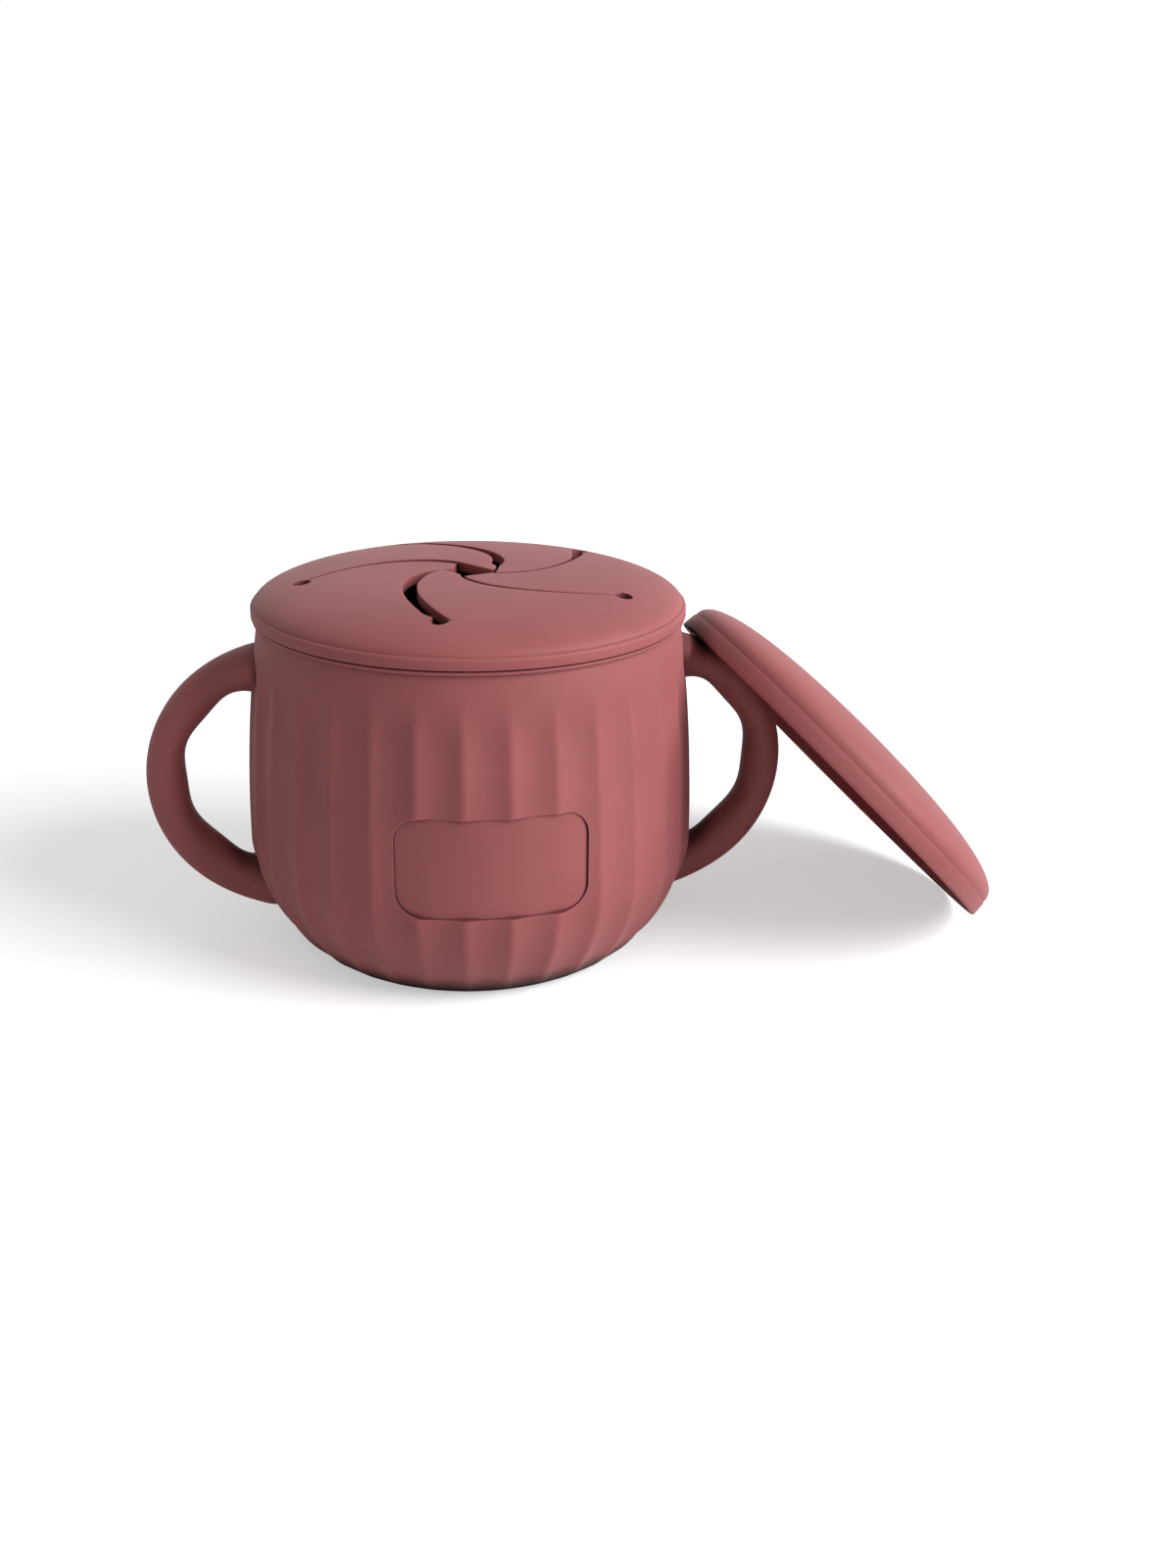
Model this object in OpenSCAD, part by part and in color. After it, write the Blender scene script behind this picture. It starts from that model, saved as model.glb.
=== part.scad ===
// Toddler snack cup in silicone: a fluted two-handled cup, a snack lid with five
// flaps that a small hand pushes through, and a dust cover that leans on a handle.
// Millimetres. Z is up, the origin is the centre of the cup's base, and the plaque
// faces -Y. The handles lie along X.

/* [Cup] */
// Radius of the flat base
base_r = 33.3; // [29:0.1:36]
// Radius of the belly at its widest
belly_r = 48; // [46:0.1:52]
// Height of the widest part of the belly
belly_z = 23.5; // [18:0.5:30]
// Radius of the wall just under the rim flange
mouth_r = 44.1; // [42:0.1:45]
// Height of the wall up to the rim flange
wall_z = 71.2; // [68:0.1:80]
// Squareness of the rounded bottom edge: 2 is an ellipse, less is flatter
corner_power = 1.55; // [1.4:0.05:2.4]
// Thickness of the wall behind the bottom of a flute
wall_t = 2.6; // [2:0.1:3.4]
// Thickness of the floor
floor_t = 3; // [2:0.5:5]

/* [Flutes] */
// Number of flutes round the cup
flute_n = 32; // [24:1:40]
// Depth of a flute between its two ridges
flute_d = 0.8; // [0.4:0.1:1.2]
// Turn of the flutes against the plaque's centre line, in degrees
flute_turn = -1.3; // [-5:0.1:5]
// Height of the plain band under the rim flange
band_h = 4; // [2:0.5:10]
// Height over which a flute fades into the plain band
fade_h = 10; // [5:0.5:14]

/* [Rim] */
// How far the rim flange stands out from the wall
flange_out = 0.8; // [0.6:0.1:1.5]
// Height of the rim flange
flange_h = 1.1; // [0.8:0.1:2]
// Width of the ledge on the flange, under the snack lid's edge
ledge_w = 2; // [1.6:0.1:2.3]

/* [Plaque] */
// Width of the bare recessed panel
plaque_w = 37.8; // [24:0.2:46]
// Height of the panel
plaque_h = 20.8; // [14:0.2:28]
// Corner radius of the panel
plaque_corner = 5.3; // [2:0.1:7]
// Height of the panel's middle
plaque_z = 33.3; // [28:0.1:40]
// Depth of the panel below the bottoms of the flutes
plaque_d = 0.3; // [0.2:0.1:0.8]

/* [Handles] */
// Distance from the cup's axis to the outside of a handle
handle_reach = 69; // [64:0.2:74]
// Height of the middle of a handle
handle_z = 36.6; // [34:0.1:39]
// Bend radius of a handle, to the middle of its grip
handle_bend_r = 25.7; // [24:0.1:27]
// Thickness of the grip at the top and bottom of its bend, seen from the front
handle_t = 8.3; // [6:0.1:9]
// How much thinner the grip is at its outermost point
handle_slim = 0.65; // [0:0.05:1]
// How much thicker the grip gets towards its lower foot
handle_low = 1.5; // [0:0.1:1.8]
// Width of the grip, front to back
handle_w = 9.6; // [8:0.2:12]
// Height of the finger ridges on the inside of the grip
ridge_h = 0.35; // [0.1:0.05:0.8]
// Angle between two finger ridges, round the bend
ridge_step = 41; // [30:1:48]
// How far a handle's foot is sunk in the wall
handle_sink = 1; // [0.6:0.1:1.6]
// How far a handle's foot flares inwards and sideways where it meets the wall
handle_flare = 2.2; // [0.4:0.1:2.5]
// Length of that flare along the grip
flare_len = 10; // [5:0.5:14]

/* [Snack lid] */
// How far the lid's lip stands out past the rim flange
lip_out = 0.3; // [0.1:0.05:0.6]
// Rounding of the lip, up to the crease where the lid's top begins
lip_round = 0.7; // [0.4:0.1:1]
// Height of the lip
lip_h = 2.4; // [2:0.1:3]
// Rise of the lid's top from the crease to its middle
dome_rise = 5.9; // [4.5:0.1:7]
// Thickness of the lid
lid_t = 2; // [1.6:0.1:2.4]
// Depth of the sealing ring that goes inside the neck
seal_depth = 2.5; // [1.5:0.1:4]
// Thickness of the sealing ring
seal_t = 1.8; // [1.2:0.1:2.4]
// Gap between the lid and the cup
lid_gap = 0.15; // [0.1:0.05:0.3]

/* [Flaps] */
// Distance from the lid's axis to the round hole that ends a slit
slit_end_r = 34.6; // [32:0.1:36]
// Even part of a slit's turn on its way to the middle, in degrees
slit_lean = 52.8; // [45:0.2:56]
// Part of its turn that comes late, as it curls round the finger hole, in degrees
slit_curl = 56; // [40:1:70]
// Width of a closed slit
slit_w = 0.6; // [0.5:0.05:1]
// How far the fifth flap has spread from the first slit
back_1 = 1.5; // [0:0.1:2]
// How far the first flap has spread from the first slit
open_1 = 0.5; // [0:0.1:2]
// How far the second flap has spread from the third slit
back_3 = 0.8; // [0:0.1:2]
// How far the third flap has spread from the third slit
open_3 = 1.5; // [0:0.1:1.6]
// How far the fourth flap has spread from the fifth slit
back_5 = 0.4; // [0:0.1:2]
// How far the fifth flap has spread from the fifth slit
open_5 = 1.5; // [0:0.1:1.6]
// Diameter of the round hole that ends a slit
slit_hole_d = 3.8; // [2.6:0.1:4.4]
// Size of the finger hole that the flaps' tips leave in the middle
finger_hole_d = 12; // [11:0.5:13]
// How far the first flap's tip hooks round the hole, in degrees
tip_hook = 62; // [30:1:66]
// Direction of the first slit's end hole, in degrees from +X
slit_turn = 111.5; // [95:0.1:125]
// Gap at the root of a flap
root_gap = 0.3; // [0.25:0.05:0.4]
// Distance from the second of a flap's two end holes to where its root starts, clear of the slit
root_short = 7; // [6:0.5:12]
// Lift of the first flap's tip at rest, in degrees
lift_1 = 0.4; // [-2:0.1:4]
// Lift of the second flap's tip at rest, in degrees
lift_2 = -0.4; // [-2:0.1:4]
// Lift of the third flap's tip at rest, in degrees
lift_3 = 0; // [-2:0.1:4]
// Lift of the fourth flap's tip at rest, in degrees
lift_4 = 0.4; // [-2:0.1:4]
// Lift of the fifth flap's tip at rest, in degrees
lift_5 = 0.2; // [-2:0.1:4]

/* [Dust cover] */
// How much smaller the cover's skirt is than the snack lid, so that it grips by stretching
cover_grip = 0.2; // [0:0.05:0.4]
// Height of the cover's skirt
skirt_h = 3.7; // [2.5:0.1:6]
// How far the skirt leans in at its top
skirt_in = 0.5; // [0.2:0.1:0.8]
// Rise of its domed top over the skirt
cover_rise = 8.6; // [6:0.1:12]
// Thickness of the dome
cover_t = 2; // [1.6:0.1:3]
// Thickness of the skirt
skirt_t = 1.1; // [1:0.1:2.4]
// Where the cover rests on the bend of the handle, in degrees above level
cover_rest = 71; // [66:0.5:76]
// Turn of the leaning cover about a vertical line, in degrees
cover_turn = 4.5; // [0:0.5:8]
// Distance of the cover's top edge to the front of the handle's middle
cover_side = 3; // [0:0.5:5]
// Gap between the cover and the handle that it leans on
cover_gap = 0.4; // [0.35:0.05:0.6]

/* [Hidden] */
$fn = 96;
rose = [0.68, 0.43, 0.43];
cut = 1; // how far a cutting body runs past a face

// Cup and rim
flange_r = mouth_r + flange_out;
neck_r = flange_r - ledge_w;
mouth_in = mouth_r - flute_d - wall_t; // inside radius of the mouth
flange_z = wall_z + flange_h;
band_z = wall_z - band_h;
fade_z = band_z - fade_h;
foot_fade = 6; // height over which a flute runs out into the base
flute_steps = 4;
ring_n = flute_n * flute_steps;

// Snack lid
lip_r = flange_r + lip_out;
crease_r = lip_r - lip_round;
skirt_z = flange_z + lid_gap;
crease_z = skirt_z + lip_h;
roof_z = crease_z - lip_round; // underside of the lid over the neck
neck_z = roof_z - lid_gap; // top of the neck
seal_r = mouth_in - lid_gap;
seal_in = seal_r - seal_t;
seal_z = neck_z - seal_depth;
dome_power = 3.3;
dome_bend = 1.8; // how upright the dome's edge is
dome_steps = 12;

// Flaps
flap_n = 5;
flap_step = 360 / flap_n;
flap_lifts = [lift_1, lift_2, lift_3, lift_4, lift_5];
backs = [back_1, 0, back_3, 0, back_5];
opens = [open_1, 0, open_3, 0, open_5];
shuts = [1, 1, 0.62, 1, 0.08]; // where on its way to the middle a slit starts to close again
shut_len = 0.25;
curl_power = 2.6;
hole_mid = finger_hole_d / 2;
first_ends = [1, 1.08, 0.93, 1.1, 1.03] * hole_mid; // how near to the axis a flap's edge along its first slit comes
second_ends = [0.9, 0.65, 0.83, 0.95, 1.17] * hole_mid; // the same for its second slit
root_mid = slit_end_r * cos(flap_step / 2); // from the lid's axis to a flap's root line
root_len = 2 * slit_end_r * sin(flap_step / 2);
root_z = (dome_z(root_mid) + dome_z(slit_end_r)) / 2 - lid_t / 2;
root_r = lid_t / 2 + (dome_z(root_mid) - dome_z(slit_end_r)) / 2 + 0.02;
hole_r = slit_hole_d / 2;
slit_steps = 20;
hook_steps = 5;
hook_in = 0.2; // how much nearer to the axis the hook ends

// Handles
bend_out = handle_bend_r + handle_t / 2;
bend_x = handle_reach - bend_out;
foot_len = 5; // how far the sweep runs on inside the wall before it is trimmed
top_meet = meet(1, 75, 12);
low_meet = meet(-1, 75, 12);
grip_rings = 44;
grip_sides = 16;

// Dust cover
cover_in = lip_r - cover_grip;
cover_r = cover_in + skirt_t;
cover_crease = cover_r - skirt_in;
cover_power = 2.5;
cover_steps = 14;
rest_x = bend_x + (bend_out + cover_gap) * cos(cover_rest);
rest_z = handle_z + (bend_out + cover_gap) * sin(cover_rest);
cover_lean = asin(rest_z / (cover_r + cover_in));
cover_x = rest_x + cover_in * cos(cover_lean) * cos(cover_turn);
cover_y = cover_in * cos(cover_lean) * sin(cover_turn) - cover_side;
cover_z = cover_r * sin(cover_lean);

// ---- Shapes ----

function smooth(u) = u <= 0 ? 0 : u >= 1 ? 1 : u * u * (3 - 2 * u);

// Radius of the rounded bottom corner, from its start r0 to its end r1, z being 0 to 1
function corner_r(r0, r1, z) = r0 + (r1 - r0) * pow(1 - pow(1 - z, corner_power), 1 / corner_power);

// Radius of the wall at the ridges between the flutes
function wall_r(z) =
    z < belly_z ? corner_r(base_r, belly_r, max(z, 0) / belly_z)
    : belly_r + (mouth_r - belly_r) * pow((z - belly_z) / (wall_z - belly_z), 2);

// Depth of the flutes at a height
function flute_depth(z) = flute_d * smooth((band_z - z) / fade_h) * smooth(z / foot_fade);

// Heights of the rings of the wall
function corner_level(k, n) = 1 - pow(cos(90 * k / n), 2 / corner_power);
wall_levels = concat(
    [for (k = [0:8]) belly_z * corner_level(k, 8)],
    [for (k = [1:5]) belly_z + (fade_z - belly_z) * k / 5],
    [for (k = [1:6]) fade_z + fade_h * k / 6],
    [flange_z - flange_h / 2]);

// Height of the lid's top at a distance from its axis
function dome_z(r) = crease_z + dome_rise * pow(1 - pow(min(r / crease_r, 1), dome_power), 1 / dome_bend);
function dome_r(k) = crease_r * pow(1 - pow(1 - pow(k / dome_steps, 2), dome_bend), 1 / dome_power);

// Where a slit has turned to at a distance from the lid's axis, and the directions of the two sides of
// slit i there: the flap before it lies clockwise of it and the flap after it the other way
function slit_t(r) = max(0, (slit_end_r - r) / slit_end_r);
function slit_off(r) = slit_lean * slit_t(r) + slit_curl * pow(slit_t(r), curl_power);
function slit_slope(r) =
    r / slit_end_r * (slit_lean + curl_power * slit_curl * pow(slit_t(r), curl_power - 1)) * PI / 180;
function slit_side(i, r, spreads) =
    (slit_w / 2 + spreads[i % flap_n] * (1 - smooth((slit_t(r) - shuts[i % flap_n]) / shut_len)))
    * sqrt(1 + pow(slit_slope(r), 2)) / r * 180 / PI;
function slit_before(i, r) = slit_turn + flap_step * i - slit_off(r) - slit_side(i, r, backs);
function slit_after(i, r) = slit_turn + flap_step * i - slit_off(r) + slit_side(i, r, opens);
function slit_r(k, end) = slit_end_r + (end - slit_end_r) * k / slit_steps;
function polar(r, a) = [r * cos(a), r * sin(a)];

// Angle above or below level at which the handle's middle line meets the wall
function meet(s, a, n) =
    n == 0 ? a : meet(s, acos((wall_r(handle_z + s * handle_bend_r * sin(a)) - bend_x) / handle_bend_r), n - 1);

module ring_sweep(points, n, rings) {
    last = (rings - 1) * n;
    sides = [for (i = [0:rings - 2]) for (j = [0:n - 1]) let (a = i * n + j, b = i * n + (j + 1) % n)
        each [[a, a + n, b + n], [a, b + n, b]]];
    polyhedron(points, concat(sides, [[for (j = [0:n - 1]) j]], [[for (j = [n - 1:-1:0]) last + j]]));
}

// Everything inside the ridges of the wall, less an inset
module wall_core(inset, top) {
    rotate_extrude()
        polygon(concat(
            [[0, -cut], [base_r - inset, -cut]],
            [for (z = wall_levels) if (z < wall_z) [wall_r(z) - inset, z]],
            [[mouth_r - inset, wall_z], [mouth_r - inset, top], [0, top]]));
}

module fluted_wall() {
    points = [for (z = wall_levels) for (j = [0:ring_n - 1])
        let (
            u = (j % flute_steps) / flute_steps,
            a = -90 + flute_turn + 360 / flute_n * (0.5 + j / flute_steps),
            r = wall_r(min(z, wall_z)) - flute_depth(z) * 4 * u * (1 - u))
        [r * cos(a), r * sin(a), z]];
    ring_sweep(points, ring_n, len(wall_levels));
}

module rim() {
    rotate_extrude()
        polygon([
            [mouth_in - 2, wall_z],
            [mouth_r + 0.05, wall_z],
            [flange_r, flange_z - 0.2],
            [flange_r, flange_z],
            [neck_r, flange_z],
            [neck_r, neck_z - 0.3],
            [neck_r - 0.3, neck_z],
            [mouth_in - 2, neck_z]]);
}

module cavity() {
    in_belly = belly_r - flute_d - wall_t;
    in_base = base_r - 1;
    rotate_extrude()
        polygon(concat(
            [[0, floor_t]],
            [for (k = [0:8]) let (v = corner_level(k, 8))
                [corner_r(in_base, in_belly, v), floor_t + (belly_z - floor_t) * v]],
            [for (k = [1:6]) let (z = belly_z + (wall_z - belly_z) * k / 6) [wall_r(z) - flute_d - wall_t, z]],
            [[mouth_in, neck_z + cut], [0, neck_z + cut]]));
}

module panel_cut() {
    half_w = plaque_w / 2 - plaque_corner;
    half_h = plaque_h / 2 - plaque_corner;
    difference() {
        translate([0, -base_r / 2, plaque_z])
            rotate([90, 0, 0])
                linear_extrude(belly_r) {
                    square([2 * half_w, plaque_h], center = true);
                    square([plaque_w, 2 * half_h], center = true);
                    for (x = [-half_w, half_w])
                        for (y = [-half_h, half_h])
                            translate([x, y])
                                circle(plaque_corner);
                }
        wall_core(flute_d + plaque_d, wall_z);
    }
}

module cup_shell() {
    color(rose)
        difference() {
            union() {
                fluted_wall();
                rim();
            }
            cavity();
            panel_cut();
        }
}

module grip() {
    from = -low_meet - foot_len / handle_bend_r * 180 / PI;
    to = top_meet + foot_len / handle_bend_r * 180 / PI;
    points = [for (i = [0:grip_rings - 1])
        let (
            a = from + (to - from) * i / (grip_rings - 1),
            near = min(top_meet - a, a + low_meet) * handle_bend_r * PI / 180,
            flare = handle_flare * pow(min(1, max(0, 1 - near / flare_len)), 2),
            half_t = (handle_t - handle_slim * cos(a) + handle_low * smooth((30 - a) / 90)) / 2,
            ridge = ridge_h * cos(360 * a / ridge_step))
        for (j = [0:grip_sides - 1])
            let (
                b = 360 * j / grip_sides,
                inner = pow(max(0, -cos(b)), 2),
                r = bend_out - half_t * (1 - cos(b)) - (ridge + flare) * inner,
                y = (handle_w / 2 + flare) * sin(b))
            [bend_x + r * cos(a), y, handle_z + r * sin(a)]];
    ring_sweep(points, grip_sides, grip_rings);
}

module handle_right() {
    color(rose)
        difference() {
            grip();
            wall_core(flute_d + handle_sink, wall_z);
        }
}

module handle_left() {
    mirror([1, 0, 0])
        handle_right();
}

// Turns a thing made for the first flap's root line to the root line of flap i
module at_root(i) {
    rotate([0, 0, slit_turn + flap_step * (i + 0.5)])
        translate([root_mid, 0, root_z])
            children();
}

// A rod along a root line, from the first end hole to where the root starts
module root_barrel(r, from, to) {
    translate([0, root_len / 2 - to, 0])
        rotate([90, 0, 0])
            cylinder(h = root_len - from - to, r = r);
}

// The corner of flap i beside its second slit, which stays with the lid
module root_end(i, gap) {
    rotate(slit_turn + flap_step * (i + 0.5))
        translate([root_mid - belly_r / 4, root_len / 2 - root_short + gap])
            square(belly_r / 2);
}

module slit_end(i) {
    rotate([0, 0, slit_turn + flap_step * i])
        translate([slit_end_r, 0, seal_z - cut])
            cylinder(h = crease_z + dome_rise - seal_z + 2 * cut, r = hole_r);
}

module snack_lid() {
    color(rose)
        difference() {
            rotate_extrude()
                polygon(concat(
                    [for (k = [0:dome_steps]) [dome_r(k), dome_z(dome_r(k))]],
                    [for (a = [30, 60, 90]) [crease_r + lip_round * sin(a), crease_z - lip_round * (1 - cos(a))]],
                    [
                        [lip_r, skirt_z],
                        [neck_r + lid_gap, skirt_z],
                        [neck_r + lid_gap, roof_z],
                        [seal_r, roof_z],
                        [seal_r, seal_z],
                        [seal_in, seal_z],
                        [seal_in, dome_z(seal_in) - lid_t]],
                    [for (k = [dome_steps:-1:0]) if (dome_r(k) < seal_in) [dome_r(k), dome_z(dome_r(k)) - lid_t]]));
            translate([0, 0, roof_z])
                linear_extrude(dome_rise + 2 * cut)
                    difference() {
                        window();
                        for (i = [0:flap_n - 1])
                            intersection() {
                                between_slits(i);
                                root_end(i, root_gap);
                            }
                    }
            for (i = [0:flap_n - 1]) {
                slit_end(i);
                at_root(i)
                    root_barrel(root_r + root_gap, 0, root_short - root_gap);
            }
        }
}

module lid_shell() {
    rotate_extrude()
        polygon(concat(
            [for (k = [0:dome_steps - 3]) [dome_r(k), dome_z(dome_r(k))]],
            [for (k = [dome_steps - 3:-1:0]) [dome_r(k), dome_z(dome_r(k)) - lid_t]]));
}

// The five-sided window that the flaps fill
module window() {
    polygon([for (i = [0:flap_n - 1]) polar(slit_end_r, slit_turn + flap_step * i)]);
}

// Down slit i, across the flap's tip and back up the next slit
module between_slits(i) {
    first = first_ends[i];
    second = second_ends[i];
    polygon(concat(
        [for (k = [0:slit_steps]) polar(slit_r(k, first), slit_after(i, slit_r(k, first)))],
        [if (i == 0) for (k = [1:hook_steps])
            polar(first * (1 - hook_in * pow(k / hook_steps, 2)), slit_after(i, first) - tip_hook * k / hook_steps)],
        [for (k = [slit_steps:-1:0]) polar(slit_r(k, second), slit_before(i + 1, slit_r(k, second)))]));
}

module flap(i) {
    turn = slit_turn + flap_step * (i + 0.5);
    hinge = [root_mid * cos(turn), root_mid * sin(turn), root_z];
    color(rose)
        translate(hinge)
            rotate(flap_lifts[i], [-sin(turn), cos(turn), 0])
                translate(-hinge)
                    difference() {
                        intersection() {
                            lid_shell();
                            union() {
                                translate([0, 0, roof_z])
                                    linear_extrude(dome_rise + 2 * cut)
                                        difference() {
                                            intersection() {
                                                between_slits(i);
                                                window();
                                            }
                                            root_end(i, 0);
                                        }
                                at_root(i)
                                    root_barrel(root_r, hole_r, root_short);
                            }
                        }
                        slit_end(i);
                        slit_end(i + 1);
                    }
}

module flap_1() {
    flap(0);
}

module flap_2() {
    flap(1);
}

module flap_3() {
    flap(2);
}

module flap_4() {
    flap(3);
}

module flap_5() {
    flap(4);
}

module dust_cover() {
    hollow = skirt_h + cover_rise - cover_t;
    in_crease = cover_crease - skirt_t;
    color(rose)
        translate([cover_x, cover_y, cover_z])
            rotate([0, cover_lean, cover_turn])
                rotate_extrude()
                    polygon(concat(
                        [[cover_in, 0], [cover_r, 0]],
                        [for (k = [0:cover_steps]) let (a = 90 * k / cover_steps) [
                            cover_crease * pow(cos(a), 2 / cover_power),
                            skirt_h + cover_rise * pow(sin(a), 2 / cover_power)]],
                        [for (k = [cover_steps:-1:0]) let (a = 90 * k / cover_steps) [
                            in_crease * pow(cos(a), 2 / cover_power),
                            skirt_h + (hollow - skirt_h) * pow(sin(a), 2 / cover_power)]],
                        [[cover_in, skirt_h - (cover_in - in_crease)]]));
}

cup_shell();
handle_left();
handle_right();
snack_lid();
flap_1();
flap_2();
flap_3();
flap_4();
flap_5();
dust_cover();
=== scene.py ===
from math import acos, asin, atan2, cos, degrees, hypot, pi, radians, sin, sqrt

import bmesh
import bpy
from mathutils import Matrix, Vector


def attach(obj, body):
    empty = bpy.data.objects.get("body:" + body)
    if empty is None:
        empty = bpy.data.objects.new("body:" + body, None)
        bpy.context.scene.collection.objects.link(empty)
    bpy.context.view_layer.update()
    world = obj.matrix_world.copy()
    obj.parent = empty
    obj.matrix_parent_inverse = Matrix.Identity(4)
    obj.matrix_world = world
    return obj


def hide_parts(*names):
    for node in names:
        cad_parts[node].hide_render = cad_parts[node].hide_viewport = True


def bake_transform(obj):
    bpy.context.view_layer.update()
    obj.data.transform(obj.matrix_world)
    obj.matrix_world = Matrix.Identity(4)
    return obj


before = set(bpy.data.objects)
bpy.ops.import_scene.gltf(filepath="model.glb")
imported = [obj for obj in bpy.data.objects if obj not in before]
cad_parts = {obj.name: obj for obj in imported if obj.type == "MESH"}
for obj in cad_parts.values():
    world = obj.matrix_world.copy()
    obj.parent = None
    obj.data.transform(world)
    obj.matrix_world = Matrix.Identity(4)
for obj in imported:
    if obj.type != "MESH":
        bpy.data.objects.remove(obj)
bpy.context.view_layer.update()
print("frame loaded:", len(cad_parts), "nodes")

mm = 0.001  # shapes are made in millimetres and shrunk to metres when they are done


# small helpers

def smooth(u):
    u = max(0.0, min(1.0, u))
    return u * u * (3 - 2 * u)


def polar(radius, angle, height=0.0):
    return Vector((radius * cos(radians(angle)), radius * sin(radians(angle)), height))


def toLinear(hexColour):
    parts = [int(hexColour[i:i + 2], 16) / 255 for i in (1, 3, 5)]
    return [c / 12.92 if c <= 0.04045 else ((c + 0.055) / 1.055) ** 2.4 for c in parts] + [1.0]


def addNode(tree, kind, settings, links=()):
    node = tree.nodes.new(kind)
    for name, value in settings.items():
        if isinstance(name, int) or name in node.inputs:
            node.inputs[name].default_value = value
        else:
            setattr(node, name, value)
    for name, output in dict(links).items():
        tree.links.new(output, node.inputs[name])
    return node


def turned(profile, steps, start=0.0):
    # spins a line of (radius, height) points once round the Z axis
    bm = bmesh.new()
    verts = [bm.verts.new(polar(r, start, z)) for r, z in profile]
    for a, b in zip(verts, verts[1:]):
        bm.edges.new((a, b))
    bmesh.ops.spin(bm, geom=bm.verts[:] + bm.edges[:], cent=(0, 0, 0), axis=(0, 0, 1),
                   angle=2 * pi, steps=steps, use_merge=True)
    bmesh.ops.remove_doubles(bm, verts=bm.verts[:], dist=0.001)
    bmesh.ops.recalc_face_normals(bm, faces=bm.faces[:])
    return bm


def toObject(bm, name, sharpAngle=38):
    mesh = bpy.data.meshes.new(name)
    bm.to_mesh(mesh)
    bm.free()
    mesh.transform(Matrix.Scale(mm, 4))
    mesh.shade_smooth()
    mesh.set_sharp_from_angle(angle=radians(sharpAngle))
    piece = bpy.data.objects.new(name, mesh)
    bpy.context.scene.collection.objects.link(piece)
    return piece


def cutAway(piece, cutters, operation="DIFFERENCE"):
    # takes the cutters out of the piece for good and deletes them
    for cutter in cutters:
        boolean = piece.modifiers.new("cut", "BOOLEAN")
        boolean.operation = operation
        boolean.solver = "EXACT"
        boolean.object = cutter
    baked = bpy.data.meshes.new_from_object(piece.evaluated_get(bpy.context.evaluated_depsgraph_get()))
    piece.modifiers.clear()
    piece.data = baked
    for cutter in cutters:
        bpy.data.objects.remove(cutter)
    baked.shade_smooth()
    baked.set_sharp_from_angle(angle=radians(38))


def arc(r0, z0, radius, fromAngle, toAngle, steps):
    # points on a circle round (r0, z0), angle 0 pointing outwards and 90 upwards
    return [(r0 + radius * cos(radians(a)), z0 + radius * sin(radians(a)))
            for a in [fromAngle + (toAngle - fromAngle) * k / steps for k in range(steps + 1)]]


def thicken(bm, depth):
    # pulls the flat faces of a mesh out into a closed slab
    grown = bmesh.ops.extrude_face_region(bm, geom=bm.faces[:])
    bmesh.ops.translate(bm, verts=[v for v in grown["geom"] if isinstance(v, bmesh.types.BMVert)], vec=depth)


def bisect(bm, point, normal):
    bmesh.ops.bisect_plane(bm, geom=bm.verts[:] + bm.edges[:] + bm.faces[:], plane_co=point, plane_no=normal)


# the cup

cup = dict(
    baseR=33.3, bellyR=48.0, bellyZ=23.5, mouthR=44.1, wallZ=71.2, cornerPower=1.55,
    wall=2.6, floor=3.0, floorRings=(12, 24), footRound=0.6, footLift=0.02, insideStep=1.0,
    flutes=32, fluteDepth=0.8, fluteTurn=-1.3, ridgeSoftness=0.1, bandHeight=4.0, fadeHeight=10.0, footFade=6.0,
    flangeOut=0.8, flangeHeight=1.1, flangeRound=0.45, ledge=2.0, ledgeRound=0.2, neckRound=0.4,
    panelW=37.8, panelH=20.8, panelCorner=5.3, panelZ=33.3, panelDepth=0.3, panelCuts=24, panelReach=10,
    around=384,
)
# the lid's sizes stand here because the height of the cup's neck follows from them
lid = dict(
    gap=0.15, lipOut=0.3, lipRound=0.7, lipHeight=2.4, footRound=0.25, roofRound=0.1,
    rise=5.9, thickness=2.0, domePower=3.3, domeBend=1.8, domeSteps=34,
    sealDepth=2.5, sealThickness=1.8, sealRound=0.4, around=256,
)

flangeR = cup["mouthR"] + cup["flangeOut"]
flangeZ = cup["wallZ"] + cup["flangeHeight"]
neckR = flangeR - cup["ledge"]
mouthIn = cup["mouthR"] - cup["fluteDepth"] - cup["wall"]
lipR = flangeR + lid["lipOut"]
creaseR = lipR - lid["lipRound"]
skirtZ = flangeZ + lid["gap"]
creaseZ = skirtZ + lid["lipHeight"]
roofZ = creaseZ - lid["lipRound"]
neckZ = roofZ - lid["gap"]


def cornerR(r0, r1, share):
    return r0 + (r1 - r0) * (1 - (1 - share) ** cup["cornerPower"]) ** (1 / cup["cornerPower"])


def wallR(z):
    if z < cup["bellyZ"]:
        return cornerR(cup["baseR"], cup["bellyR"], max(z, 0.0) / cup["bellyZ"])
    up = min(1.0, (z - cup["bellyZ"]) / (cup["wallZ"] - cup["bellyZ"]))
    return cup["bellyR"] + (cup["mouthR"] - cup["bellyR"]) * up ** 2


def fluteDepth(z):
    top = cup["wallZ"] - cup["bandHeight"]
    return cup["fluteDepth"] * smooth((top - z) / cup["fadeHeight"]) * smooth(z / cup["footFade"])


def fluteShape(angle):
    # 0 on a ridge, 1 at the bottom of a flute, with the ridge a little rounded
    u = ((angle + 90 - cup["fluteTurn"]) * cup["flutes"] / 360 - 0.5) % 1
    soft = cup["ridgeSoftness"]
    return (sqrt((4 * u * (1 - u)) ** 2 + soft ** 2) - soft) / (sqrt(1 + soft ** 2) - soft)


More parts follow.
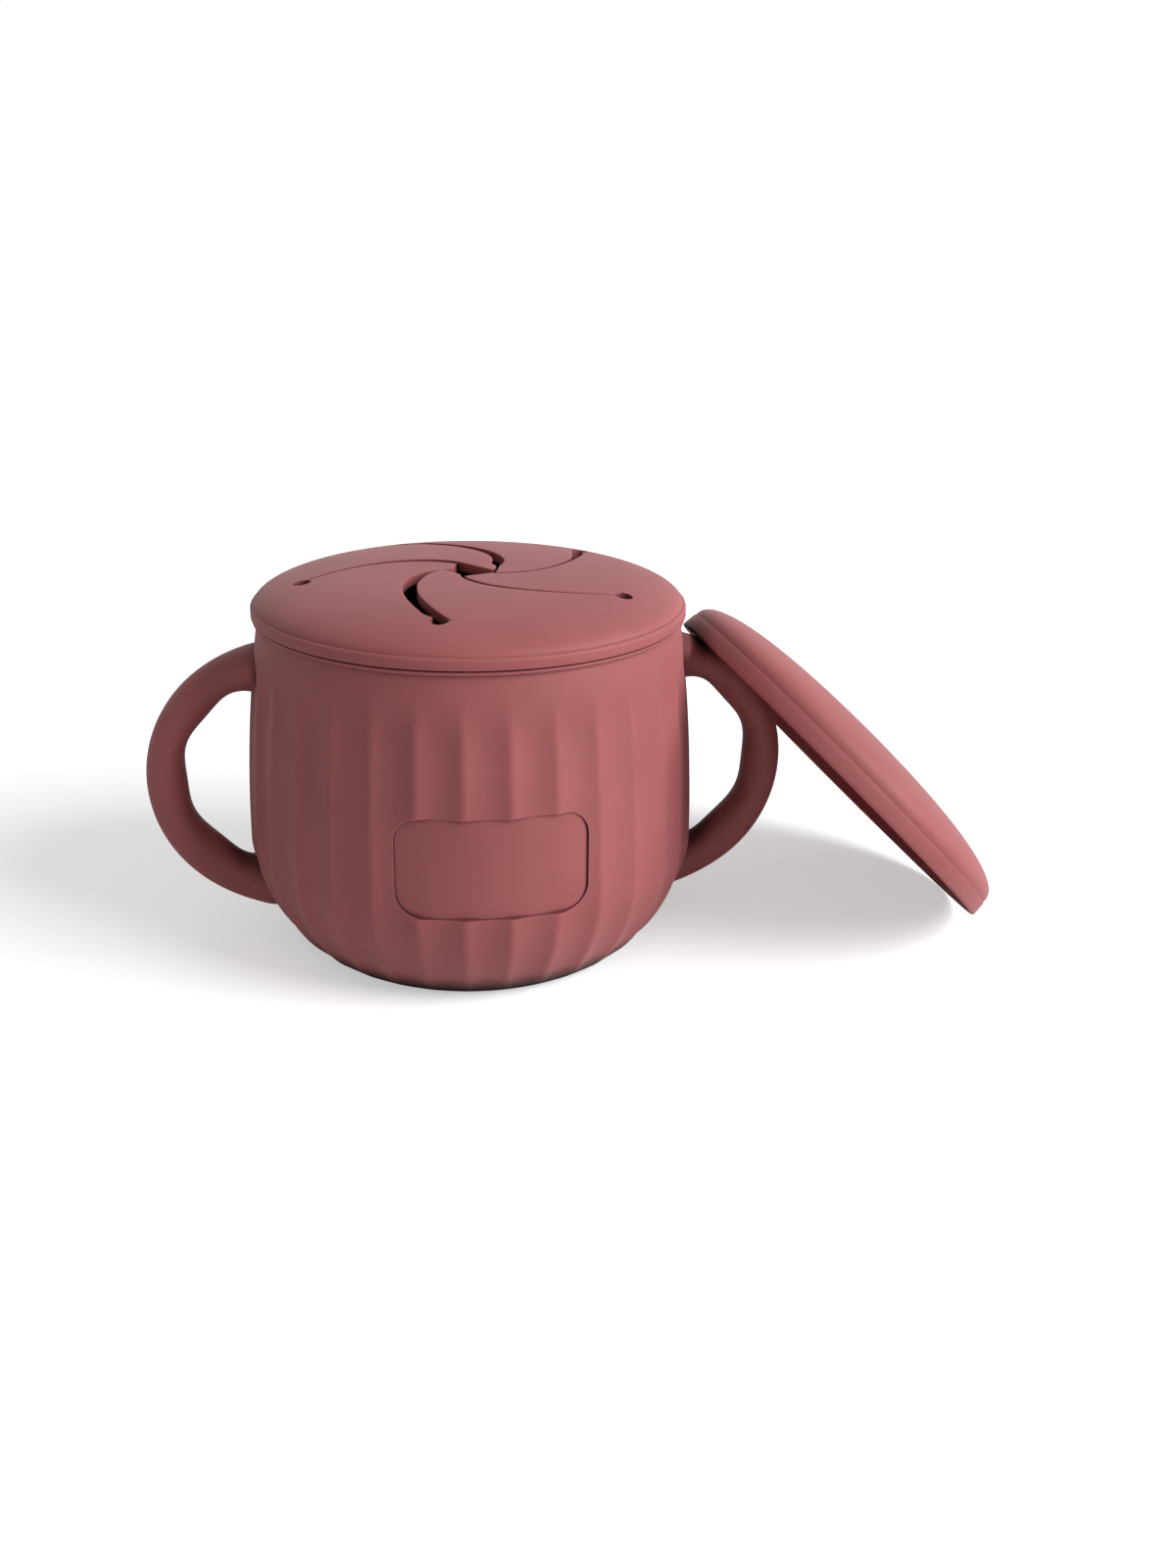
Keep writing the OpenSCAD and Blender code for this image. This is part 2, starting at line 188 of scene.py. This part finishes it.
def makeCup():
    levels = [cup["bellyZ"] * (1 - cos(radians(90 * k / 22)) ** (2 / cup["cornerPower"])) for k in range(1, 22)]
    levels += [cup["bellyZ"] + (cup["wallZ"] - cup["bellyZ"]) * k / 34 for k in range(35)]
    outside = [(wallR(z), z) for z in levels]
    inBelly = cup["bellyR"] - cup["fluteDepth"] - cup["wall"]
    shares = [1 - cos(radians(90 * k / 14)) ** (2 / cup["cornerPower"]) for k in range(15)]
    inside = [(cornerR(cup["baseR"] - cup["insideStep"], inBelly, s),
               cup["floor"] + (cup["bellyZ"] - cup["floor"]) * s) for s in shares]
    inside += [(wallR(z) - cup["fluteDepth"] - cup["wall"], z)
               for z in [cup["bellyZ"] + (cup["wallZ"] - cup["bellyZ"]) * k / 12 for k in range(1, 13)]]
    rings = (0, *cup["floorRings"])
    soft, lip = cup["neckRound"], cup["flangeRound"]
    profile = [(r, 0) for r in (*rings, cup["baseR"] - cup["footRound"])]
    profile += [(cup["baseR"], cup["footLift"])] + outside
    profile += arc(flangeR - lip, flangeZ - lip, lip, -40, 80, 5)
    profile += [(neckR + cup["ledgeRound"], flangeZ), (neckR, flangeZ + cup["ledgeRound"])]
    profile += arc(neckR - soft, neckZ - soft, soft, 0, 90, 4) + arc(mouthIn + soft, neckZ - soft, soft, 90, 180, 4)
    profile += inside[::-1] + [(r, cup["floor"]) for r in rings[::-1]]
    bm = turned(profile, cup["around"], -90 + cup["fluteTurn"] + 180 / cup["flutes"])
    top = cup["wallZ"] - cup["bandHeight"]
    for v in bm.verts:
        r, z = hypot(v.co.x, v.co.y), v.co.z
        if 0 < z < top and r > wallR(z) - 0.5:
            keep = (r - fluteDepth(z) * fluteShape(degrees(atan2(v.co.y, v.co.x)))) / r
            v.co.x *= keep
            v.co.y *= keep
    return toObject(bm, "cup")


def makePanelCutter():
    # a rounded slab whose back lies on the panel's own smooth floor
    bm = bmesh.new()
    halfW, halfH, cuts = cup["panelW"] / 2, cup["panelH"] / 2, cup["panelCuts"]
    corners = [bm.verts.new((x, 0, z)) for x, z in
               ((-halfW, -halfH), (halfW, -halfH), (halfW, halfH), (-halfW, halfH))]
    bm.faces.new(corners)
    bmesh.ops.bevel(bm, geom=bm.verts[:], affect="VERTICES", offset=cup["panelCorner"], offset_type="OFFSET",
                    segments=10, profile=0.5, material=-1)
    thicken(bm, (0, -1, 0))
    for normal, reach in (((1, 0, 0), halfW), ((0, 0, 1), halfH)):
        for k in range(1, cuts):
            bisect(bm, Vector(normal) * (-reach + 2 * reach * k / cuts), normal)
    inset = cup["fluteDepth"] + cup["panelDepth"]
    for v in bm.verts:
        x, z = v.co.x, v.co.z + cup["panelZ"]
        back = sqrt((wallR(z) - inset) ** 2 - x * x)
        v.co = (x, -back + cup["panelReach"] * v.co.y, z)
    bmesh.ops.triangulate(bm, faces=bm.faces[:])
    bmesh.ops.recalc_face_normals(bm, faces=bm.faces[:])
    return toObject(bm, "panelCutter")


cupPiece = makeCup()
cutAway(cupPiece, [makePanelCutter()])
print("cup:", len(cupPiece.data.polygons), "faces")


# the handles

handle = dict(
    reach=69.0, height=36.6, bendR=25.7, thick=8.3, wide=9.6, ridge=0.35, ridgeStep=41.0,
    slim=0.65, lowExtra=1.5, lowFrom=30, lowLength=90,
    flare=2.2, flareLength=10.0, sunk=3.0, around=40, along=170,
)
bendOut = handle["bendR"] + handle["thick"] / 2
bendX = handle["reach"] - bendOut


def meetAngle(side):
    # where the middle line of the handle meets the wall, above (1) or below (-1) level
    angle = 75.0
    for _ in range(12):
        z = handle["height"] + side * handle["bendR"] * sin(radians(angle))
        angle = degrees(acos((wallR(z) - bendX) / handle["bendR"]))
    return angle


def makeHandle(name, side):
    low, top = meetAngle(-1), meetAngle(1)
    past = degrees(handle["sunk"] / handle["bendR"])
    bm = bmesh.new()
    bmesh.ops.create_circle(bm, cap_ends=False, radius=1, segments=handle["around"])
    start = -low - past
    turnToStart = Matrix.Rotation(radians(-start), 4, "Y")
    for v in bm.verts:
        v.co = turnToStart @ Vector((handle["bendR"] + v.co.x * handle["thick"] / 2,
                                     v.co.y * handle["wide"] / 2, 0))
    bmesh.ops.spin(bm, geom=bm.verts[:] + bm.edges[:], cent=(0, 0, 0), axis=(0, -1, 0),
                   angle=radians(low + top + 2 * past), steps=handle["along"])
    bmesh.ops.holes_fill(bm, edges=bm.edges[:])
    for v in bm.verts:
        r, angle = hypot(v.co.x, v.co.z), degrees(atan2(v.co.z, v.co.x))
        across = (r - handle["bendR"]) / (handle["thick"] / 2)
        near = min(top - angle, angle + low) * radians(1) * handle["bendR"]
        grow = handle["flare"] * max(0.0, min(1.0, 1 - near / handle["flareLength"])) ** 2
        ridge = handle["ridge"] * cos(radians(360 * angle / handle["ridgeStep"])) * max(0.0, -across) ** 2
        lower = handle["lowExtra"] * smooth((handle["lowFrom"] - angle) / handle["lowLength"])
        thin = (handle["slim"] * cos(radians(angle)) - lower) * (1 - across) / 2
        r += thin - ridge - grow * max(0.0, -across) ** 2
        y = v.co.y * (1 + grow / (handle["wide"] / 2))
        v.co = (side * (bendX + r * cos(radians(angle))), y, handle["height"] + r * sin(radians(angle)))
    bmesh.ops.recalc_face_normals(bm, faces=bm.faces[:])
    return toObject(bm, name, 60)


handleLeft = makeHandle("handleLeft", -1)
handleRight = makeHandle("handleRight", 1)
print("handles:", len(handleLeft.data.polygons), "faces each")


# the snack lid

slit = dict(
    endR=34.6, width=0.6, holeD=3.8, fingerHoleD=12.0, turn=111.5, steps=40, biteSteps=6,
    lean=52.8, curl=56.0, power=2.6,
    # how far each slit gapes, on its two sides, and where on its way to the middle it starts to close
    backs=(1.5, 0, 0.8, 0, 0.4), opens=(0.5, 0, 1.5, 0, 1.5), shuts=(1, 1, 0.62, 1, 0.08),
    shutLength=0.25,
    # how near to the axis each flap comes along its two slits, as shares of the finger hole's radius
    firstEnds=(1, 1.08, 0.93, 1.1, 1.03), secondEnds=(0.9, 0.65, 0.83, 0.95, 1.17),
    tipHook=62.0, hookIn=0.2, hookSteps=8, windowZ=65, windowH=20,
)
flap = dict(
    lifts=(0.4, -0.4, 0.0, 0.4, 0.2), edgeRound=0.8, bendLength=4.0,
    rootGrid=0.35, rootCuts=11, grid=1.6, inwardFrom=4.2, inwardCuts=24, sideCuts=13,
)


def domeZ(r):
    return creaseZ + lid["rise"] * (1 - min(r / creaseR, 1) ** lid["domePower"]) ** (1 / lid["domeBend"])


def makeLidRing():
    domeRs = [creaseR * (1 - (1 - (k / lid["domeSteps"]) ** 2) ** lid["domeBend"]) ** (1 / lid["domePower"])
              for k in range(lid["domeSteps"] + 1)]
    foot, soft, neckSide, sealR = lid["footRound"], lid["sealRound"], neckR + lid["gap"], mouthIn - lid["gap"]
    sealIn, sealZ = sealR - lid["sealThickness"], neckZ - lid["sealDepth"]
    profile = [(r, domeZ(r)) for r in domeRs]
    profile += arc(creaseR, creaseZ - lid["lipRound"], lid["lipRound"], 80, 0, 6)
    profile += arc(lipR - foot, skirtZ + foot, foot, 0, -90, 3)
    profile += [(neckSide + lid["roofRound"], skirtZ), (neckSide, skirtZ + lid["roofRound"]), (neckSide, roofZ),
                (sealR, roofZ)]
    profile += arc(sealR - soft, sealZ + soft, soft, 0, -90, 3) + arc(sealIn + soft, sealZ + soft, soft, -90, -180, 3)
    profile += [(r, domeZ(r) - lid["thickness"]) for r in [sealIn] + domeRs[::-1] if r <= sealIn]
    return toObject(turned(profile, lid["around"]), "snackLid")


def makeWindowCutter():
    # the five-sided window that the flaps fill, with the round holes at its corners
    bm = bmesh.new()
    bmesh.ops.create_circle(bm, cap_ends=True, radius=slit["endR"], segments=5)
    first = min(bm.verts, key=lambda v: (v.co - polar(slit["endR"], 0)).length)
    offset = slit["turn"] - degrees(atan2(first.co.y, first.co.x))
    bmesh.ops.rotate(bm, verts=bm.verts[:], cent=(0, 0, 0), matrix=Matrix.Rotation(radians(offset), 3, "Z"))
    thicken(bm, (0, 0, slit["windowH"]))
    bmesh.ops.translate(bm, verts=bm.verts[:], vec=(0, 0, slit["windowZ"]))
    bmesh.ops.recalc_face_normals(bm, faces=bm.faces[:])
    cutters = [toObject(bm, "windowCutter")]
    holeR, middleZ = slit["holeD"] / 2, slit["windowZ"] + slit["windowH"] / 2
    for k in range(5):
        bm = bmesh.new()
        bmesh.ops.create_cone(bm, cap_ends=True, segments=32, radius1=holeR, radius2=holeR, depth=slit["windowH"],
                              matrix=Matrix.Translation(polar(slit["endR"], slit["turn"] + 72 * k, middleZ)))
        cutters.append(toObject(bm, "holeCutter"))
    return cutters


def slitSide(k, r, after):
    # the direction of one side of slit k at a distance from the lid's axis
    t = max(0.0, (slit["endR"] - r) / slit["endR"])
    slope = r / slit["endR"] * radians(slit["lean"] + slit["power"] * slit["curl"] * t ** (slit["power"] - 1))
    spread = slit["opens" if after else "backs"][k % 5] * (1 - smooth((t - slit["shuts"][k % 5]) / slit["shutLength"]))
    away = (slit["width"] / 2 + spread) * (1 if after else -1)
    return (slit["turn"] + 72 * k - slit["lean"] * t - slit["curl"] * t ** slit["power"]
            + degrees(away * sqrt(1 + slope ** 2) / r))


def flapOutline(k):
    # down one slit, across the tip and back up the next slit, with a bite at each end for the round hole
    inA, inB = polar(slit["endR"], slit["turn"] + 72 * k), polar(slit["endR"], slit["turn"] + 72 * (k + 1))
    holeR, middleR = slit["holeD"] / 2, slit["fingerHoleD"] / 2
    firstR, secondR = slit["firstEnds"][k] * middleR, slit["secondEnds"][k] * middleR

    def edge(slitIndex, endR, after):
        radii = [slit["endR"] + (endR - slit["endR"]) * (i / slit["steps"]) for i in range(slit["steps"] + 1)]
        return [polar(r, slitSide(slitIndex, r, after)) for r in radii]
    down = [p for p in edge(k, firstR, True) if (p - inA).length > holeR]
    back = [p for p in edge(k + 1, secondR, False)[::-1] if (p - inB).length > holeR]
    across = []
    if k == 0:  # the first flap's tip hooks round the finger hole
        across = [polar(firstR * (1 - slit["hookIn"] * share ** 2),
                        slitSide(k, firstR, True) - slit["tipHook"] * share)
                  for share in [i / slit["hookSteps"] for i in range(1, slit["hookSteps"] + 1)]]
    along = (inB - inA).normalized()

    def bite(centre, fromPoint, toPoint):
        p, q = fromPoint - centre, toPoint - centre
        start = atan2(p.y, p.x)
        sweep = (atan2(q.y, q.x) - start + pi) % (2 * pi) - pi
        return [centre + polar(holeR, degrees(start + sweep * i / slit["biteSteps"]))
                for i in range(slit["biteSteps"] + 1)]
    return bite(inA, inA + along * holeR, down[0]) + down + across + back + bite(inB, back[-1], inB - along * holeR)


def makeFlap(k):
    bm = bmesh.new()
    bm.faces.new([bm.verts.new(p) for p in flapOutline(k)])
    bmesh.ops.remove_doubles(bm, verts=bm.verts[:], dist=0.02)
    thicken(bm, (0, 0, -lid["thickness"]))
    bmesh.ops.recalc_face_normals(bm, faces=bm.faces[:])
    turn = slit["turn"] + 72 * (k + 0.5)
    outward, along = polar(1, turn), polar(1, turn + 90)
    rootMid = slit["endR"] * cos(radians(36))
    # every level edge but the two on the root line, where the flap goes on into the lid
    rim = [e for e in bm.edges if abs(e.verts[0].co.z - e.verts[1].co.z) < 0.01
           and sum(rootMid - v.co.dot(outward) for v in e.verts) > 0.1]
    bmesh.ops.bevel(bm, geom=rim, affect="EDGES", offset=flap["edgeRound"], offset_type="OFFSET", segments=3,
                    profile=0.5, material=-1, clamp_overlap=True)
    # a grid, finer next to the root, so that the flap can bend there
    inwards = [flap["rootGrid"] * i for i in range(1, flap["rootCuts"] + 1)]
    inwards += [flap["inwardFrom"] + flap["grid"] * i for i in range(flap["inwardCuts"])]
    cuts = [(outward, rootMid - d) for d in inwards]
    cuts += [(along, flap["grid"] * i) for i in range(-flap["sideCuts"], flap["sideCuts"] + 1)]
    for normal, at in cuts:
        bisect(bm, normal * at, normal)
    hingeZ = (domeZ(rootMid) + domeZ(slit["endR"])) / 2 - lid["thickness"] / 2
    hinge = outward * rootMid + Vector((0, 0, hingeZ))
    for v in bm.verts:
        v.co.z += domeZ(hypot(v.co.x, v.co.y))
        inward = rootMid - v.co.dot(outward)
        lift = radians(flap["lifts"][k]) * smooth(inward / flap["bendLength"])
        v.co = hinge + Matrix.Rotation(lift, 3, along) @ (v.co - hinge)
    bmesh.ops.recalc_face_normals(bm, faces=bm.faces[:])
    piece = toObject(bm, f"lidFlap{k + 1}", 50)
    return piece, hinge * mm, (hinge - outward * flap["bendLength"]) * mm


lidRing = makeLidRing()
cutAway(lidRing, makeWindowCutter())
flaps = [makeFlap(k) for k in range(5)]
print("snack lid:", len(lidRing.data.polygons), "faces, flaps of", len(flaps[0][0].data.polygons))


# the dust cover, leaning on the right handle

cover = dict(
    grip=0.2, skirtHeight=3.7, skirtIn=0.5, rise=8.6, thickness=2.0, skirtThickness=1.1, edgeRound=0.45,
    power=2.5, domeSteps=44, domeSpread=1.25, rest=71.0, turn=4.5, side=3.0, gap=0.4, around=256,
)


def makeCover():
    inR = lipR - cover["grip"]
    outR = inR + cover["skirtThickness"]
    crease = outR - cover["skirtIn"]
    inCrease = crease - cover["skirtThickness"]
    hollow = cover["skirtHeight"] + cover["rise"] - cover["thickness"]
    bend, soft, top = 2 / cover["power"], cover["edgeRound"], cover["skirtHeight"]

    def dome(r, fromZ, rise):
        return [(r * cos(radians(a)) ** bend if a < 90 else 0.0, fromZ + rise * sin(radians(a)) ** bend)
                for a in [90 * (k / cover["domeSteps"]) ** cover["domeSpread"] for k in range(cover["domeSteps"] + 1)]]
    profile = arc(inR + soft, soft, soft, 180, 270, 4) + arc(outR - soft, soft, soft, 270, 360, 4)
    # the skirt leans in a little on its way up and turns softly into the crease
    profile += [(outR - 0.05, 1.2), (outR - 0.15, 2.2), (crease + 0.22, top - 0.25), (crease + 0.12, top - 0.05)]
    profile += dome(crease, top, cover["rise"]) + dome(inCrease, top, hollow - top)[::-1]
    profile += [(inR, top - (inR - inCrease)), profile[0]]
    bm = turned(profile, cover["around"])
    restX = bendX + (bendOut + cover["gap"]) * cos(radians(cover["rest"]))
    restZ = handle["height"] + (bendOut + cover["gap"]) * sin(radians(cover["rest"]))
    lean = asin(restZ / (outR + inR))
    place = Vector((restX + inR * cos(lean) * cos(radians(cover["turn"])),
                    inR * cos(lean) * sin(radians(cover["turn"])) - cover["side"], outR * sin(lean)))
    bmesh.ops.transform(bm, verts=bm.verts[:], matrix=Matrix.Translation(place)
                        @ Matrix.Rotation(radians(cover["turn"]), 4, "Z") @ Matrix.Rotation(lean, 4, "Y"))
    return toObject(bm, "dustCover")


coverPiece = makeCover()
print("dust cover:", len(coverPiece.data.polygons), "faces")


# materials

def makeSilicone():
    # food-grade silicone rubber, compression moulded in a blasted steel mould: a dry, powdery, even matte
    # skin with a soft wide highlight, and a faint mottle where the mould's texture and handling differ
    material = bpy.data.materials.new("mouldedSilicone")
    material.use_nodes = True
    tree = material.node_tree
    tree.nodes.clear()
    place = addNode(tree, "ShaderNodeTexCoord", {})
    mottle = addNode(tree, "ShaderNodeTexNoise", {"Scale": 55.0, "Detail": 3.0, "Roughness": 0.5},
                     {"Vector": place.outputs["Object"]})  # patches about 18 mm across
    tone = addNode(tree, "ShaderNodeValToRGB", {}, {"Fac": mottle.outputs["Fac"]})
    tone.color_ramp.elements[0].position = 0.3
    tone.color_ramp.elements[0].color = toLinear("#915051")
    tone.color_ramp.elements[1].position = 0.7
    tone.color_ramp.elements[1].color = toLinear("#975455")
    # painted shade: ambient occlusion darkens the colour towards near-black red in the slits, creases, hollows and
    # where parts meet
    hollow = addNode(tree, "ShaderNodeAmbientOcclusion", {"samples": 8, "Distance": 0.009})
    shade = addNode(tree, "ShaderNodeValToRGB", {}, {"Fac": hollow.outputs["AO"]})
    shade.color_ramp.elements[0].position = 0.28
    shade.color_ramp.elements[0].color = toLinear("#1c0205")
    shade.color_ramp.elements[1].position = 0.78
    shade.color_ramp.elements[1].color = (1, 1, 1, 1)
    toneInPaintedShade = addNode(tree, "ShaderNodeMix", {"data_type": "RGBA", "blend_type": "MULTIPLY", 0: 1.0},
                   {6: tone.outputs["Color"], 7: shade.outputs["Color"]})
    # painted shade on the highlight too: the low, dry specular level is cut further where the occlusion darkens the
    # colour
    dryAndShadedSpecular = addNode(tree, "ShaderNodeMath", {"operation": "MULTIPLY", 1: 0.35}, {0: shade.outputs["Color"]})
    grain = addNode(tree, "ShaderNodeTexNoise", {"Scale": 2600.0, "Detail": 2.0, "Roughness": 0.6},
                    {"Vector": place.outputs["Object"]})  # blasted texture, drawn at 0.4 mm so that it shows
    bump = addNode(tree, "ShaderNodeBump", {"Strength": 0.12, "Distance": 0.00005}, {"Height": grain.outputs["Fac"]})
    shader = addNode(tree, "ShaderNodeBsdfPrincipled",
                     {"Roughness": 0.58, "IOR": 1.41, "Sheen Weight": 0.05, "Sheen Roughness": 0.4,
                      "Subsurface Weight": 0.4, "Subsurface Radius": (1.0, 0.3, 0.25), "Subsurface Scale": 0.003},
                     {"Base Color": toneInPaintedShade.outputs[2], "Specular IOR Level": dryAndShadedSpecular.outputs["Value"],
                      "Normal": bump.outputs["Normal"]})
    addNode(tree, "ShaderNodeOutputMaterial", {}, {"Surface": shader.outputs["BSDF"]})
    return material


silicone = makeSilicone()
for piece, body, node in (
        (cupPiece, "cup", "cup_shell"), (handleLeft, "cup", "handle_left"), (handleRight, "cup", "handle_right"),
        (lidRing, "lid", "snack_lid"), (coverPiece, "cover", "dust_cover")):
    piece.data.materials.clear()
    piece.data.materials.append(silicone)
    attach(piece, body)
    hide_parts(node)
for k, (piece, start, end) in enumerate(flaps, 1):
    piece.data.materials.append(silicone)
    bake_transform(piece)
    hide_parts(f"flap_{k}")
print("materials set")


# floor, light and camera

def makeFloor():
    # a white sweep: what the camera sees is white paper, of which only part comes from the light, so that
    # the shadows stay soft and pale; far from the cup, where the lamp fades, the paper glows by itself
    bm = bmesh.new()
    bmesh.ops.create_grid(bm, x_segments=1, y_segments=1, size=4000)
    floor = toObject(bm, "floor")
    material = bpy.data.materials.new("whitePaper")
    material.use_nodes = True
    tree = material.node_tree
    tree.nodes.clear()
    paper = addNode(tree, "ShaderNodeBsdfDiffuse", {"Color": toLinear("#e8e8e8")})
    place = addNode(tree, "ShaderNodeTexCoord", {})
    away = addNode(tree, "ShaderNodeVectorMath", {"operation": "LENGTH"}, {0: place.outputs["Object"]})
    rise = addNode(tree, "ShaderNodeMapRange", {"interpolation_type": "SMOOTHSTEP", "From Min": 0.25, "From Max": 0.7,
                                                "To Min": 0.47, "To Max": 1.0}, {"Value": away.outputs["Value"]})
    seen = addNode(tree, "ShaderNodeLightPath", {})
    share = addNode(tree, "ShaderNodeMath", {"operation": "MULTIPLY"},
                    {0: seen.outputs["Is Camera Ray"], 1: rise.outputs["Result"]})
    glow = addNode(tree, "ShaderNodeEmission", {}, {"Strength": share.outputs["Value"]})
    both = addNode(tree, "ShaderNodeAddShader", {}, {0: paper.outputs["BSDF"], 1: glow.outputs["Emission"]})
    addNode(tree, "ShaderNodeOutputMaterial", {}, {"Surface": both.outputs["Shader"]})
    floor.data.materials.append(material)


def addArea(name, position, aim, size, energy):
    data = bpy.data.lights.new(name, "AREA")
    data.shape = "DISK"
    data.size = size
    data.energy = energy
    lamp = bpy.data.objects.new(name, data)
    lamp.location = position
    lamp.rotation_euler = (Vector(aim) - Vector(position)).to_track_quat("-Z", "Y").to_euler()
    bpy.context.scene.collection.objects.link(lamp)


def makeCamera():
    place, aim, roll = Vector((-25.65, -307.05, 154.06)), Vector((25.03, -4.19, 33.18)), radians(1.02)
    data = bpy.data.cameras.new("camera")
    data.sensor_width = 36
    data.lens = 34.48
    data.clip_start = 0.01
    camera = bpy.data.objects.new("camera", data)
    look = (aim - place).normalized()
    level = look.cross(Vector((0, 0, 1))).normalized()
    upright = level.cross(look)
    right = level * cos(roll) + upright * sin(roll)
    up = right.cross(look)
    camera.matrix_world = Matrix.Translation(place * mm) @ Matrix((right, up, -look)).transposed().to_4x4()
    bpy.context.scene.collection.objects.link(camera)
    bpy.context.scene.camera = camera


def makeWorld():
    # the camera and the reflections see plain white; everything else gets the level light of a dim white room
    world = bpy.data.worlds.new("studio")
    world.use_nodes = True
    tree = world.node_tree
    tree.nodes.clear()
    seen = addNode(tree, "ShaderNodeLightPath", {})
    either = addNode(tree, "ShaderNodeMath", {"operation": "ADD", "use_clamp": True},
                     {0: seen.outputs["Is Camera Ray"], 1: seen.outputs["Is Glossy Ray"]})
    room = addNode(tree, "ShaderNodeBackground", {"Color": (1, 1, 1, 1), "Strength": 0.33})
    white = addNode(tree, "ShaderNodeBackground", {"Color": (1, 1, 1, 1), "Strength": 1.0})
    mix = addNode(tree, "ShaderNodeMixShader", {}, {
        0: either.outputs["Value"], 1: room.outputs["Background"], 2: white.outputs["Background"]})
    addNode(tree, "ShaderNodeOutputWorld", {}, {"Surface": mix.outputs["Shader"]})
    bpy.context.scene.world = world


makeFloor()
makeWorld()
addArea("keyLight", (1.3, -0.72, 0.9), (0.02, 0, 0.04), 1.2, 40)
makeCamera()
bpy.context.scene.view_settings.view_transform = "Standard"

print("scene ready")
